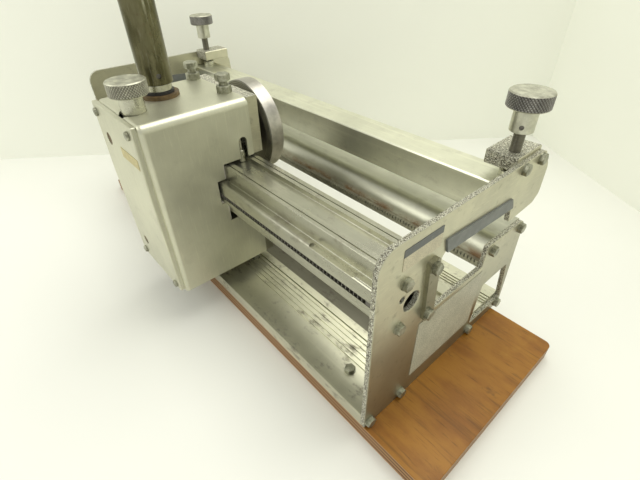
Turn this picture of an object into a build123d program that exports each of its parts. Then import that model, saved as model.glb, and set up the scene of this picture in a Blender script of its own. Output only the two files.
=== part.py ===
"""Bench roller lacer: a wheeled press head that travels on a rail between two C-shaped end plates.

Millimetres, +Z up, +X along the rail towards the right end plate, +Y towards the belt side.
Origin: underside of the base board, midway between the end plates and midway through their depth.
Depths d are measured back from the end plates' front edge, heights h up from the board's top face.
"""
from build123d import *
import math
import os

# ---------------------------------------------------------------- driving dimensions
# overall
INNER_LENGTH = 600.0        # clear length between the end plates
FRAME_DEPTH = 246.0         # depth of the end plates at their foot
PLATE_T = 5.0               # end plate stock
BOARD_T = 19.0              # plywood board
BOARD_OVER_RIGHT = 76.0  # board beyond the right plate
BOARD_OVER_LEFT = 62.0
BOARD_DEPTH = 231.0
BOARD_CORNER_R = 7.0
CHAMFER = 0.5               # broken edges on machined parts
FIT = 0.3                   # gap between faces of bodies that move past each other
RUN = 0.05                  # radial clearance of a running fit
THREAD_GAP = 0.1            # radial clearance of a threaded part in its hole

# end plate outline
PLATE_H = 214.0
PLATE_FRONT_R = 17.0
ARM_TOP_D = 233.0  # back end of the straight top edge
ARM_BACK_D = 252.0
ARM_BACK_H = 193.0
ARM_TURN_H = 160.0
HOOK_D = 242.0
HOOK_H = 151.5
TIP_D = 195.0
TIP_H = 149.0
ARM_UNDER_D = 190.0
ARM_UNDER_H = 170.4
THROAT_TOP_D = 78.0
THROAT_TOP_H = 175.5
THROAT_LOW_D = 83.0
THROAT_H = 107.0
THROAT_R = 9.0
STEP_D = 165.0
LOWER_ARM_H = 133.0
LOWER_ARM_D = 240.0
PLATE_FOOT_D = 248.0
WINDOW = ((181.0, 72.0), (231.0, 73.0), (243.0, 12.0), (176.0, 14.0))
WINDOW_R = 3.0
PORT_D, PORT_H, PORT_R = 44.8, 143.5, 10.0
PILOT_D, PILOT_H, PILOT_R = 31.8, 153.4, 3.5

# fasteners
BOLT_R = 3.0  # shank of the frame bolts
BOLT_HOLE_R = 3.2
TAP_R = BOLT_R + THREAD_GAP
BOLT_AF = 10.0
BOLT_HEAD_H = 3.6
WASHER_R = 6.0
WASHER_T = 1.0
BOLT_REACH = 16.0           # shank length beyond the plate it holds

# base extrusion
BASE_H = 17.0
BASE_FLOOR_H = 3.0
BASE_STEP = (168.0, 190.0, 13.0)    # lower strip that holds the third end bolt
BASE_RECESS = (77.0, 168.0)
BASE_RIB_D = (38.0, 44.0, 50.0, 56.0, 62.0)
BASE_REAR_RIB_D = (214.0, 218.5, 223.0)
BASE_RIB_W = 1.8
BASE_RIB_H = 1.4
BASE_GROOVE_D = (66.5, 227.5)
BASE_GROOVE_W = 2.0
BASE_GROOVE_DEEP = 2.5
BASE_BOLT_D = (6.5, 52.0, 174.0, 238.0)
BASE_BOLT_H = 6.5
DECK_BOLTS = ((258.0, 27.0), (38.0, 58.0), (-258.0, 27.0), (200.0, 200.5), (-200.0, 200.5))
DECK_BOLT_REACH = 13.0      # how far the deck bolts go into the board

# front rail
RAIL_TOP = 175.5
RAIL_FOOT = 108.0
RAIL_FRONT = 18.0
RAIL_BACK = 71.0
RAIL_WALL_D = 28.0  # upright wall behind the ledge
RAIL_LOW_D = 25.5           # screw boss under the strip
RAIL_BOSS = (38.5, 115.0)   # back and foot of that boss
RAIL_BODY_D = 46.0          # front of the rail's lower body
RAIL_BODY_H = 127.0
STRIP_H = (133.5, 139.0)
LEDGE_H = 158.0
LEDGE_R = 3.5
RACK_SLOT_H = (139.0, 144.0)
RACK_SLOT_D = 25.0
RIDGE_GROOVES = (32.5, 65.0)
RIDGE_GROOVE_W = 1.4
RIDGE_GROOVE_DEEP = 1.2
CHANNEL_D = (38.5, 59.8)
CHANNEL_H = 170.5
RAIL_HOLLOW = ((30.0, 129.5), (66.5, 164.5))
RAIL_BOLTS = ((33.0, 170.6), (31.5, 121.5), (64.2, 170.6), (66.0, 117.5))
LEDGE_SLOT_X = (210.0, 262.0)
LEDGE_SLOT_W = 6.0
LEDGE_SLOT_DEEP = 2.0

# rack and pinion
GEAR_MODULE = 1.5
PINION_TEETH = 21
PINION_T = 3.6
BACKLASH = 0.35
PRESSURE_ANGLE = math.radians(20.0)
RACK_T = 4.4  # belt support and comb
SUPPORT_D = (168.5, 237.5)
SUPPORT_TOP = 132.6
SUPPORT_FOOT = 106.0
SUPPORT_NOSE_R = 22.0
SUPPORT_WALL = 4.0
SUPPORT_BOLTS = ((177.5, 123.0), (232.5, 124.5))
COMB_D = (163.5, 168.5)
COMB_H = (106.0, 113.0)
COMB_PITCH = 4.0
COMB_SLOT_W = 1.4
COMB_SLOT_DEEP = 3.5

# clamp bar and its screws
BAR_D = (178.0, 217.0)
BAR_H = (157.0, 192.0)
BAR_WALL = 3.2
BAR_END_GAP = 3.2
BAR_R = 2.0
CLAMP_D = 201.0  # screw axis
CLAMP_IN = 11.5  # screw axis inboard of the end plate
CLAMP_BLOCK_W = 32.0
CLAMP_BLOCK_D = (187.0, 231.0)
CLAMP_BLOCK_H = (204.0, 218.0)
CLAMP_BLOCK_BOLTS = (192.5, 224.0)
CLAMP_BLOCK_BOLT_H = 208.2
SCREW_R = 5.2
SCREW_PITCH = 1.5
THREAD_DEEP = 0.5
SCREW_COLLAR_R = 10.6
SCREW_COLLAR_H = (237.0, 258.0)
SCREW_FOOT_R = 3.4
KNOB_R = 18.7
KNOB_T = 14.0
KNOB_CHAMFER = 1.0
KNOB_BORE_R = 5.0
SWIVEL_R = 9.0
SWIVEL_T = 7.5
SWIVEL_FLOOR = 2.5  # thickness of the cup left under the screw's foot
SET_SCREW_R = 2.0
SET_SCREW_H = 243.0
SET_SCREW_TURN = 21.0       # degrees from straight ahead
SET_SCREW_L = 7.0

# trims, straps and plates on the end plates
TRIM_OUTLINE = ((82.9, 173.7), (78.4, 188.4), (183.9, 181.3), (190.5, 168.6))
TRIM_T = 1.8
STRAP_W = 13.5
STRAP_T = 4.0
STRAP_TOP = (63.8, 178.0)
STRAP_LOW = (70.4, 107.0)
LABEL_T = 0.4
LABEL_UPPER = ((26.0, 186.0), (72.0, 206.0))
LABEL_LOWER = ((63.5, 101.0), (169.0, 101.0), (169.0, 23.0), (63.5, 23.0))

# press head
HEAD_X = (-62.0, 54.5)
HEAD_FRONT = -51.5
HEAD_BACK = 67.0
HEAD_TOP = 242.0
HEAD_FOOT = 34.0
SHEET_T = 2.0
SHEET_BEND_R = 8.0
SIDE_BEND_R = 5.0
FLANGE_W = 20.0
NOTCH_GAP = 2.5             # room between the head's notch and the rail
KEYWAY_D = 54.5
KEYWAY_R = 5.25
KEYWAY_TOP = 202.0
FRONT_BULGE = 1.5           # and how much further at its crease
FRONT_CREASE_H = 163.0
FRONT_T = 1.6
FRONT_STAND = 5.0           # how far the front cover stands out from the head
FRONT_INSET = 1.0
FRONT_EDGE_R = 1.4
FRONT_TILT = 3.0            # largest tilt of its panels from upright, in degrees
FRONT_SCREWS = ((-52.0, 231.0), (38.5, 231.0), (-51.0, 43.0), (38.5, 41.0))
FRONT_PORTS = ((-35.0, 206.0, 7.0), (-34.0, 67.5, 6.0))
PLUG_BACK = 1.5
PLUG_SUNK = 0.8
FRONT_SCREW_R = 2.4
PAN_HEAD_R = 4.6
PAN_HEAD_T = 2.6
HEAD_LABEL = ((0.0, 197.0), (45.0, 208.0))
REAR_PLATE_T = 13.0
SHELF_T = 12.0
UPPER_SHELF_H = 205.0
LOWER_SHELF_H = 84.0
SPINE_T = 8.0
SPINE_GAP = 4.0             # spine set back behind the front flanges
GUIDE_W = 14.0
GUIDE_D = 5.0
GUIDE_LIFT = 1.5            # upper guide blocks stand this far above the ledge
POST_R = 4.6
POST_NECK_R = 2.6
POST_TOP = 185.0
POST_X = 46.5  # drive
SHAFT_X = -19.0
SHAFT_D = 4.0
SHAFT_R = 9.5
STUB_R = 14.0               # shaft shoulder under the crank tube
BUSH_R = 13.0
SEAT_R = 20.0  # fibre washer
SEAT_T = 4.0
SEAL_R = 15.5
SEAL_T = 3.0
TUBE_R = 16.5
TUBE_BORE_R = SHAFT_R + RUN
TUBE_H = (256.0, 440.0)
TUBE_WALL = 3.2
TUBE_PLUG = 30.0            # solid lower end that seats on the shaft
PIN_R = 2.6
PIN_TURN = -10.0            # degrees from the rail's direction
PIN_H = 265.5
CRANK_ARM_L = 120.0
CRANK_ARM_W = 26.0
CRANK_ARM_T = 12.0
CRANK_HUB_R = 22.0
GRIP_L = 92.0
GRIP_R = 15.0
GRIP_AXLE_R = 5.0
GRIP_CAP_R = 9.0
GRIP_CAP_T = 3.0

# pressing rollers
ROLLER_D = (92.4, 110.6)
ROLLER_X = 0.0
ROLLER_H = 188.3
ROLLER_R = 55.2
ROLLER_RING_R = 45.0
ROLLER_RECESS = 5.0
ROLLER_HUB_R = 17.0
AXLE_R = 8.0
AXLE_END_R = 13.0
AXLE_END_T = 3.0
LOWER_ROLLER_R = 30.0
ROLLER_GAP = 7.0            # open height between the rollers at rest
LIFT_H = (222.0, 231.0)     # plate that carries the upper roller block
LIFT_X = (-58.0, 40.0)
BLOCK_X = (-30.0, 30.0)
BLOCK_D = (80.5, 90.0)
BLOCK_FOOT = 166.0
LOWER_BLOCK_H = (66.0, 112.0)
ROLLER_TRAVEL = 4.0
STOP_BOLTS = ((-50.5, 59.0), (20.5, 60.0))
STOP_R = 4.8
STOP_AF = 14.3
STOP_HEAD_H = 7.0
STOP_NUT_H = 8.0
STOP_RISE = 5.0             # bare thread between lock nut and head
ADJUST_X, ADJUST_D = 11.0, -36.5
ADJUST_HOLE_R = 13.6
ADJUST_OFF = 1.2            # the hole sits a little off the screw's axis
ADJUST_SHANK_R = 11.75
ADJUST_SCREW_R = 5.0
ADJUST_KNOB_R = 19.0
ADJUST_KNOB_H = (259.0, 273.0)

# ---------------------------------------------------------------- derived sizes
FRONT_Y = -FRAME_DEPTH / 2
HALF = INNER_LENGTH / 2
PINION_R = GEAR_MODULE * PINION_TEETH / 2
PINION_H = (RACK_SLOT_H[0] + RACK_SLOT_H[1] - PINION_T) / 2
RACK_PITCH_D = SHAFT_D + PINION_R
LOWER_ROLLER_H = ROLLER_H - ROLLER_R - ROLLER_GAP - LOWER_ROLLER_R

parts = {}


# ---------------------------------------------------------------- helpers
def yy(d):
    """Row Y of a depth behind the end plates' front edge."""
    return FRONT_Y + d


def zz(h):
    """Row Z of a height above the board."""
    return BOARD_T + h


def block(x, d, h):
    """Box between two X limits, two depths and two heights."""
    size = Box(x[1] - x[0], d[1] - d[0], h[1] - h[0])
    return Pos((x[0] + x[1]) / 2, yy((d[0] + d[1]) / 2), zz((h[0] + h[1]) / 2)) * size


def upright(x, d, h, r):
    """Vertical cylinder between two heights."""
    return Pos(x, yy(d), zz((h[0] + h[1]) / 2)) * Cylinder(r, h[1] - h[0])


def along_x(x, d, h, r):
    """Cylinder along X between two X limits."""
    return Pos((x[0] + x[1]) / 2, yy(d), zz(h)) * Rot(0, 90, 0) * Cylinder(r, x[1] - x[0])


def along_y(x, d, h, r):
    """Cylinder along Y between two depths."""
    return Pos(x, yy((d[0] + d[1]) / 2), zz(h)) * Rot(90, 0, 0) * Cylinder(r, d[1] - d[0])


def side_face(points, rounds=()):
    """Face in the YZ plane through (d, h) points; rounds pairs a point's index with its radius."""
    face = make_face(Polyline(*[(yy(d), zz(h)) for d, h in points], close=True))
    for index, radius in rounds:
        d, h = points[index]
        corner = face.vertices().sort_by_distance((yy(d), zz(h), 0))[0]
        face = fillet(corner, radius)
    return face


def side_plate(points, x, rounds=()):
    """Prism along X with the outline of side_face."""
    return extrude(Plane.YZ.offset(x[0]) * side_face(points, rounds), amount=x[1] - x[0])


def hexagon_x(x, d, h, across_flats):
    """Hexagonal prism along X."""
    outline = RegularPolygon(across_flats / 2, 6, major_radius=False)
    return extrude(Plane.YZ.offset(x[0]) * (Pos(yy(d), zz(h)) * outline), amount=x[1] - x[0])


def hexagon_z(x, d, h, across_flats):
    """Hexagonal prism along Z."""
    outline = RegularPolygon(across_flats / 2, 6, major_radius=False)
    return extrude(Plane.XY.offset(zz(h[0])) * (Pos(x, yy(d)) * outline), amount=h[1] - h[0])


def softened(solid, size=CHAMFER):
    """Break every edge a little; a body too fine for it is returned as it was."""
    return chamfer(solid.edges(), size)


def mirrored(solid):
    """The same piece at the other end of the frame."""
    return mirror(solid, about=Plane.YZ)


def frame_bolt(d, h, seat=0.0, reach=BOLT_REACH):
    """Hex bolt and washer through the right end plate, seated `seat` proud of its outer face."""
    face = HALF + PLATE_T + seat
    washer = along_x((face, face + WASHER_T), d, h, WASHER_R)
    head = hexagon_x((face + WASHER_T, face + WASHER_T + BOLT_HEAD_H), d, h, BOLT_AF)
    head = chamfer(head.edges().group_by(Axis.X)[-1], CHAMFER)
    shank = along_x((HALF - reach, face + WASHER_T), d, h, BOLT_R)
    return washer + head + shank


def both_ends(bolts):
    """Bolts of the right plate together with their mirror images."""
    return Compound(children=bolts + [mirrored(bolt) for bolt in bolts])


def end_holes(solid, places, reach=BOLT_REACH):
    """Tapped holes in both ends of a member that lies between the plates."""
    for d, h in places:
        for end in (-1, 1):
            limits = sorted((end * (HALF - reach - 1.0), end * (HALF + 1.0)))
            solid -= along_x(limits, d, h, TAP_R)
    return solid


# ---------------------------------------------------------------- frame
def base_board():
    length = (-HALF - PLATE_T - BOARD_OVER_LEFT, HALF + PLATE_T + BOARD_OVER_RIGHT)
    board = block(length, (0.0, BOARD_DEPTH), (-BOARD_T, 0.0))
    board = fillet(board.edges().filter_by(Axis.Z), BOARD_CORNER_R)
    board = chamfer(board.edges().filter_by(GeomType.LINE).group_by(Axis.Z)[-1], CHAMFER)
    for x, d in DECK_BOLTS:
        board -= upright(x, d, (-DECK_BOLT_REACH - 1.0, 1.0), TAP_R)
    return board


def base_extrusion():
    base = block((-HALF, HALF), (0.0, FRAME_DEPTH), (0.0, BASE_H))
    base -= block((-HALF - 1, HALF + 1), BASE_RECESS, (BASE_FLOOR_H, BASE_H + 1))
    low, high, step_h = BASE_STEP
    base -= block((-HALF - 1, HALF + 1), (low - 1, high), (step_h, BASE_H + 1))
    for d in BASE_GROOVE_D:
        base -= block((-HALF - 1, HALF + 1), (d - BASE_GROOVE_W / 2, d + BASE_GROOVE_W / 2),
                      (BASE_H - BASE_GROOVE_DEEP, BASE_H + 1))
    for d in BASE_RIB_D + BASE_REAR_RIB_D:
        base += block((-HALF, HALF), (d - BASE_RIB_W / 2, d + BASE_RIB_W / 2),
                      (BASE_H - 1, BASE_H + BASE_RIB_H))
    for x, d in DECK_BOLTS:
        base -= upright(x, d, (-1.0, BASE_H + BASE_RIB_H + 1), BOLT_HOLE_R)
        base -= upright(x, d, (BASE_H, BASE_H + BASE_RIB_H + 1), WASHER_R + FIT)
    return end_holes(base, [(d, BASE_BOLT_H) for d in BASE_BOLT_D])


def end_plate():
    outline = [(0.0, 0.0), (0.0, PLATE_H), (ARM_TOP_D, PLATE_H), (ARM_BACK_D - 2, ARM_BACK_H),
               (ARM_BACK_D, ARM_TURN_H), (HOOK_D, HOOK_H), (TIP_D, TIP_H),
               (ARM_UNDER_D, ARM_UNDER_H), (THROAT_TOP_D, THROAT_TOP_H),
               (THROAT_LOW_D, THROAT_H),
               (STEP_D, THROAT_H), (STEP_D + 1.5, LOWER_ARM_H), (LOWER_ARM_D, LOWER_ARM_H - 1.0),
               (PLATE_FOOT_D, 0.0)]
    rounds = ((1, PLATE_FRONT_R), (2, 10.0), (3, 16.0), (4, 9.0), (5, 5.0), (6, 2.5), (7, 3.0),
              (8, THROAT_R), (9, 5.0), (10, 4.0), (11, 2.5), (12, 9.0), (13, 2.0))
    x = (HALF, HALF + PLATE_T)
    plate = side_plate(outline, x, rounds)
    plate -= side_plate(WINDOW, (x[0] - 1, x[1] + 1), [(i, WINDOW_R) for i in range(4)])
    through = (x[0] - 1, x[1] + 1)
    plate -= along_x(through, PORT_D, PORT_H, PORT_R)
    plate -= along_x(through, PILOT_D, PILOT_H, PILOT_R)
    plate = chamfer(plate.edges().group_by(Axis.X)[-1], CHAMFER)
    block_bolts = [(d, CLAMP_BLOCK_BOLT_H) for d in CLAMP_BLOCK_BOLTS]
    base_bolts = [(d, BASE_BOLT_H) for d in BASE_BOLT_D]
    for d, h in list(RAIL_BOLTS) + list(SUPPORT_BOLTS) + block_bolts + base_bolts:
        plate -= along_x(through, d, h, BOLT_HOLE_R)
    return plate


def front_rail():
    back_of_slot = RACK_SLOT_D
    boss_back, boss_foot = RAIL_BOSS
    outline = [(RAIL_BODY_D, RAIL_FOOT), (RAIL_BODY_D, RAIL_BODY_H), (boss_back, RAIL_BODY_H),
               (boss_back, boss_foot), (RAIL_LOW_D, boss_foot), (RAIL_LOW_D, STRIP_H[0]),
               (RAIL_FRONT, STRIP_H[0]), (RAIL_FRONT, STRIP_H[1]), (back_of_slot, RACK_SLOT_H[0]),
               (back_of_slot, RACK_SLOT_H[1]), (RAIL_FRONT, RACK_SLOT_H[1]), (RAIL_FRONT, LEDGE_H),
               (RAIL_WALL_D, LEDGE_H), (RAIL_WALL_D, RAIL_TOP), (RAIL_BACK, RAIL_TOP),
               (RAIL_BACK, RAIL_FOOT)]
    rounds = ((0, 1.5), (3, 3.0), (4, 4.0), (6, 1.0), (11, LEDGE_R), (12, 1.0), (13, 1.0), (14, 1.0), (15, 1.5))
    x = (-HALF, HALF)
    rail = side_plate(outline, x, rounds)
    cut = (x[0] - 1, x[1] + 1)
    channel = [(CHANNEL_D[0], RAIL_TOP + 1), (CHANNEL_D[0] + 0.6, CHANNEL_H),
               (CHANNEL_D[1] - 0.6, CHANNEL_H), (CHANNEL_D[1], RAIL_TOP + 1)]
    rail -= side_plate(channel, cut, ((1, 1.2), (2, 1.2)))
    for d in RIDGE_GROOVES:
        rail -= block(cut, (d - RIDGE_GROOVE_W / 2, d + RIDGE_GROOVE_W / 2),
                      (RAIL_TOP - RIDGE_GROOVE_DEEP, RAIL_TOP + 1))
    low, high = RAIL_HOLLOW
    rail -= side_plate([low, (low[0], high[1]), high, (high[0], low[1])], cut,
                       [(i, 2.0) for i in range(4)])
    slot_mid = (RAIL_FRONT + RAIL_WALL_D) / 2 - 1.0
    ends = [upright(x_end, slot_mid, (LEDGE_H - LEDGE_SLOT_DEEP, LEDGE_H + 1), LEDGE_SLOT_W / 2)
            for x_end in LEDGE_SLOT_X]
    rail -= block(LEDGE_SLOT_X, (slot_mid - LEDGE_SLOT_W / 2, slot_mid + LEDGE_SLOT_W / 2),
                  (LEDGE_H - LEDGE_SLOT_DEEP, LEDGE_H + 1)) + ends[0] + ends[1]
    return end_holes(rail, RAIL_BOLTS)


def drive_rack():
    """Straight rack in the rail's front slot; its teeth face the press head."""
    pitch = math.pi * GEAR_MODULE
    tip = RACK_PITCH_D - GEAR_MODULE
    root = RACK_PITCH_D + 1.25 * GEAR_MODULE
    half_gap = pitch / 4 + BACKLASH / 2
    slope = math.tan(PRESSURE_ANGLE)
    height = (zz(sum(RACK_SLOT_H) / 2) - RACK_T / 2, RACK_T)
    body = Plane.XY.offset(height[0]) * Rectangle(INNER_LENGTH, RACK_SLOT_D - tip)
    rack = Pos(0, yy((RACK_SLOT_D + tip) / 2), 0) * extrude(body, amount=height[1])
    count = int(HALF / pitch)
    gaps = []
    for index in range(-count, count + 1):
        x = SHAFT_X + index * pitch
        if abs(x) > HALF - pitch:
            continue
        top = half_gap + (RACK_PITCH_D - tip + 0.2) * slope
        bottom = half_gap - (root - RACK_PITCH_D) * slope
        gap = Polyline((x - top, yy(tip - 0.2)), (x + top, yy(tip - 0.2)),
                       (x + bottom, yy(root)), (x - bottom, yy(root)), close=True)
        gaps.append(make_face(gap))
    teeth = extrude(Plane.XY.offset(height[0] - 1) * Sketch(gaps), amount=height[1] + 2)
    return rack - teeth


def belt_support():
    """Hollow table with a round nose; the belt lies on it."""
    front, back = SUPPORT_D
    outline = [(front, SUPPORT_FOOT), (front, SUPPORT_TOP), (back, SUPPORT_TOP),
               (back, SUPPORT_FOOT)]
    x = (-HALF, HALF)
    table = side_plate(outline, x, ((1, SUPPORT_NOSE_R), (2, 3.0)))
    inner = [(front + 13.0, SUPPORT_FOOT - 1), (front + 13.0, SUPPORT_TOP - SUPPORT_WALL),
             (back - 15.0, SUPPORT_TOP - SUPPORT_WALL), (back - 15.0, SUPPORT_FOOT - 1)]
    table -= side_plate(inner, (x[0] - 1, x[1] + 1), ((1, 3.0), (2, 3.0)))
    return end_holes(table, SUPPORT_BOLTS)


def comb_strip():
    """Toothed strip along the front of the support."""
    strip = block((-HALF, HALF), COMB_D, COMB_H)
    count = int((INNER_LENGTH - 2 * COMB_PITCH) / COMB_PITCH / 2)
    cuts = [Pos(index * COMB_PITCH, yy(COMB_D[0]), zz(COMB_H[1])) * Box(
        COMB_SLOT_W, 2 * COMB_SLOT_DEEP * 0.55, 2 * COMB_SLOT_DEEP)
        for index in range(-count, count + 1)]
    return strip - cuts


# ---------------------------------------------------------------- clamp
def clamp_bar():
    x = (-HALF + BAR_END_GAP, HALF - BAR_END_GAP)
    corners = [(BAR_D[0], BAR_H[0]), (BAR_D[0], BAR_H[1]), (BAR_D[1], BAR_H[1]),
               (BAR_D[1], BAR_H[0])]
    bar = side_plate(corners, x, [(i, BAR_R) for i in range(4)])
    d = (BAR_D[0] + BAR_WALL, BAR_D[1] - BAR_WALL)
    h = (BAR_H[0] + BAR_WALL, BAR_H[1] - BAR_WALL)
    return bar - block((x[0] - 1, x[1] + 1), d, h)


def clamp_axis_x():
    return HALF - CLAMP_IN


def clamp_block():
    body = softened(block((HALF - CLAMP_BLOCK_W, HALF), CLAMP_BLOCK_D, CLAMP_BLOCK_H), 0.8)
    limits = (CLAMP_BLOCK_H[0] - 1, CLAMP_BLOCK_H[1] + 1)
    body -= upright(clamp_axis_x(), CLAMP_D, limits, SCREW_R + RUN)
    for d in CLAMP_BLOCK_BOLTS:
        body -= along_x((HALF - BOLT_REACH - 1, HALF + 1), d, CLAMP_BLOCK_BOLT_H, TAP_R)
    return body


def swivel_pad():
    """Cup on the bar's top face in which the screw's foot turns."""
    h = (BAR_H[1], BAR_H[1] + SWIVEL_T)
    cup = upright(clamp_axis_x(), CLAMP_D, h, SWIVEL_R)
    cup = chamfer(cup.edges().group_by(Axis.Z)[-1], CHAMFER)
    return cup - upright(clamp_axis_x(), CLAMP_D, (h[0] + SWIVEL_FLOOR, h[1] + 1),
                         SCREW_FOOT_R + RUN)


def collar_drill(far, near, r):
    """Radial cylinder at the set screw's place, between two distances from the screw's axis."""
    bar = Pos(0, -(far + near) / 2, 0) * Rot(90, 0, 0) * Cylinder(r, far - near)
    return Pos(clamp_axis_x(), yy(CLAMP_D), zz(SET_SCREW_H)) * Rot(0, 0, SET_SCREW_TURN) * bar


def clamp_screw():
    """Threaded spindle with a plain foot, a collar and a spigot for the knob."""
    x = clamp_axis_x()
    foot_h = BAR_H[1] + SWIVEL_FLOOR + RUN
    thread = (BAR_H[1] + SWIVEL_T + FIT, SCREW_COLLAR_H[0])
    screw = upright(x, CLAMP_D, (foot_h, thread[0] + 1), SCREW_FOOT_R)
    screw += upright(x, CLAMP_D, thread, SCREW_R)
    turns = int((thread[1] - thread[0]) / SCREW_PITCH)
    for index in range(1, turns):
        h = thread[0] + index * SCREW_PITCH
        groove = Torus(SCREW_R + 0.15, THREAD_DEEP)
        screw -= Pos(x, yy(CLAMP_D), zz(h)) * groove
    collar = upright(x, CLAMP_D, SCREW_COLLAR_H, SCREW_COLLAR_R)
    screw += chamfer(collar.edges().filter_by(GeomType.CIRCLE), CHAMFER)
    screw += upright(x, CLAMP_D, (SCREW_COLLAR_H[1], SCREW_COLLAR_H[1] + KNOB_T - 2), KNOB_BORE_R)
    return screw - collar_drill(SCREW_COLLAR_R + 1, SCREW_COLLAR_R - SET_SCREW_L, SET_SCREW_R + THREAD_GAP)


def clamp_knob():
    h = (SCREW_COLLAR_H[1], SCREW_COLLAR_H[1] + KNOB_T)
    knob = upright(clamp_axis_x(), CLAMP_D, h, KNOB_R)
    knob = chamfer(knob.edges().filter_by(GeomType.CIRCLE), KNOB_CHAMFER)
    return knob - upright(clamp_axis_x(), CLAMP_D, (h[0] - 1, h[1] - 2), KNOB_BORE_R)


def set_screw():
    return collar_drill(SCREW_COLLAR_R - 1.2, SCREW_COLLAR_R - SET_SCREW_L + 0.4, SET_SCREW_R)


# ---------------------------------------------------------------- trims on the end plates
def edge_trim():
    """Push-on channel over the lower edge of the upper arm."""
    channel = side_plate(TRIM_OUTLINE, (HALF - TRIM_T, HALF + PLATE_T + TRIM_T), [(i, 1.2) for i in range(4)])
    return channel - end_plate()


def throat_strap():
    """Slanted strap on the plate's outer face at the front of the throat."""
    half = STRAP_W / 2
    outline = [(STRAP_LOW[0] - half, STRAP_LOW[1]), (STRAP_TOP[0] - half, STRAP_TOP[1]),
               (STRAP_TOP[0] + half, STRAP_TOP[1]), (STRAP_LOW[0] + half, STRAP_LOW[1])]
    x = (HALF + PLATE_T, HALF + PLATE_T + STRAP_T)
    strap = side_plate(outline, x, [(i, 3.5) for i in range(4)])
    for d, h in RAIL_BOLTS[2:]:
        strap -= along_x((x[0] - 1, x[1] + 1), d, h, BOLT_HOLE_R)
    return strap


def label_upper():
    (d0, h0), (d1, h1) = LABEL_UPPER
    face = HALF + PLATE_T
    return side_plate([(d0, h0), (d0, h1), (d1, h1), (d1, h0)], (face, face + LABEL_T),
                      [(i, 1.0) for i in range(4)])


def label_lower():
    face = HALF + PLATE_T
    return side_plate(LABEL_LOWER, (face, face + LABEL_T), [(i, 1.0) for i in range(4)])


def deck_bolt(x, d):
    washer = upright(x, d, (BASE_H, BASE_H + WASHER_T), WASHER_R)
    h = (BASE_H + WASHER_T, BASE_H + WASHER_T + BOLT_HEAD_H)
    head = hexagon_z(x, d, h, BOLT_AF)
    head = chamfer(head.edges().group_by(Axis.Z)[-1], CHAMFER)
    return washer + head + upright(x, d, (-DECK_BOLT_REACH, h[0]), BOLT_R)


# ---------------------------------------------------------------- press head
def rail_notch(x):
    """Space that the head leaves for the rail, open to the back."""
    gap = NOTCH_GAP
    outline = [(RAIL_FRONT - gap, STRIP_H[0] - gap), (RAIL_FRONT - gap, LEDGE_H + gap),
               (RAIL_WALL_D - gap, LEDGE_H + gap), (RAIL_WALL_D - gap, RAIL_TOP + gap),
               (ROLLER_D[1], RAIL_TOP + gap), (ROLLER_D[1], RAIL_FOOT - gap),
               (RAIL_LOW_D - gap, RAIL_FOOT - gap), (RAIL_LOW_D - gap, STRIP_H[0] - gap)]
    return side_plate(outline, x)


def head_cover():
    """Bent sheet: top and two sides with turned-in front flanges."""
    shell = block(HEAD_X, (HEAD_FRONT, HEAD_BACK), (HEAD_FOOT, HEAD_TOP))
    top_bends = shell.edges().filter_by(Axis.Y).group_by(Axis.Z)[-1]
    shell = fillet(top_bends, SHEET_BEND_R)
    shell = fillet(shell.edges().filter_by(Axis.Z).group_by(Axis.Y)[0], SIDE_BEND_R)
    inner_x = (HEAD_X[0] + SHEET_T, HEAD_X[1] - SHEET_T)
    inner = block(inner_x, (HEAD_FRONT + SHEET_T, HEAD_BACK + 1), (HEAD_FOOT - 1, HEAD_TOP - SHEET_T))
    inner = fillet(inner.edges().filter_by(Axis.Y).group_by(Axis.Z)[-1], SHEET_BEND_R - SHEET_T)
    inner = fillet(inner.edges().filter_by(Axis.Z).group_by(Axis.Y)[0], SIDE_BEND_R - SHEET_T)
    shell -= inner
    opening_x = (HEAD_X[0] + FLANGE_W, HEAD_X[1] - FLANGE_W)
    shell -= block(opening_x, (HEAD_FRONT - 1, HEAD_FRONT + SHEET_T + 1),
                   (HEAD_FOOT - 1, HEAD_TOP - SHEET_T))
    shell -= rail_notch((HEAD_X[0] - 1, HEAD_X[1] + 1))
    across = (HEAD_X[0] - 1, HEAD_X[1] + 1)
    shell -= along_x(across, KEYWAY_D, KEYWAY_TOP - KEYWAY_R, KEYWAY_R)
    shell -= block(across, (KEYWAY_D - KEYWAY_R, KEYWAY_D + KEYWAY_R), (RAIL_TOP, KEYWAY_TOP - KEYWAY_R))
    top = (HEAD_TOP - SHEET_T - 1, HEAD_TOP + 1)
    shell -= upright(SHAFT_X, SHAFT_D, top, SHAFT_R + 1.0)
    shell -= upright(ADJUST_X - ADJUST_OFF, ADJUST_D - ADJUST_OFF, top, ADJUST_HOLE_R)
    for x, d in STOP_BOLTS:
        shell -= upright(x, d, top, STOP_R + THREAD_GAP)
    for x, h in FRONT_SCREWS:
        shell -= along_y(x, (HEAD_FRONT - 1, HEAD_FRONT + SHEET_T + 1), h, FRONT_SCREW_R + THREAD_GAP)
    return shell


def front_face_d(h):
    """Depth of the front cover's outer face at a height: it stands furthest forward at the crease."""
    share = (h - HEAD_FOOT) / (FRONT_CREASE_H - HEAD_FOOT)
    if h > FRONT_CREASE_H:
        share = (HEAD_TOP - h) / (HEAD_TOP - FRONT_CREASE_H)
    return HEAD_FRONT - FRONT_STAND - FRONT_BULGE * share


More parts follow.
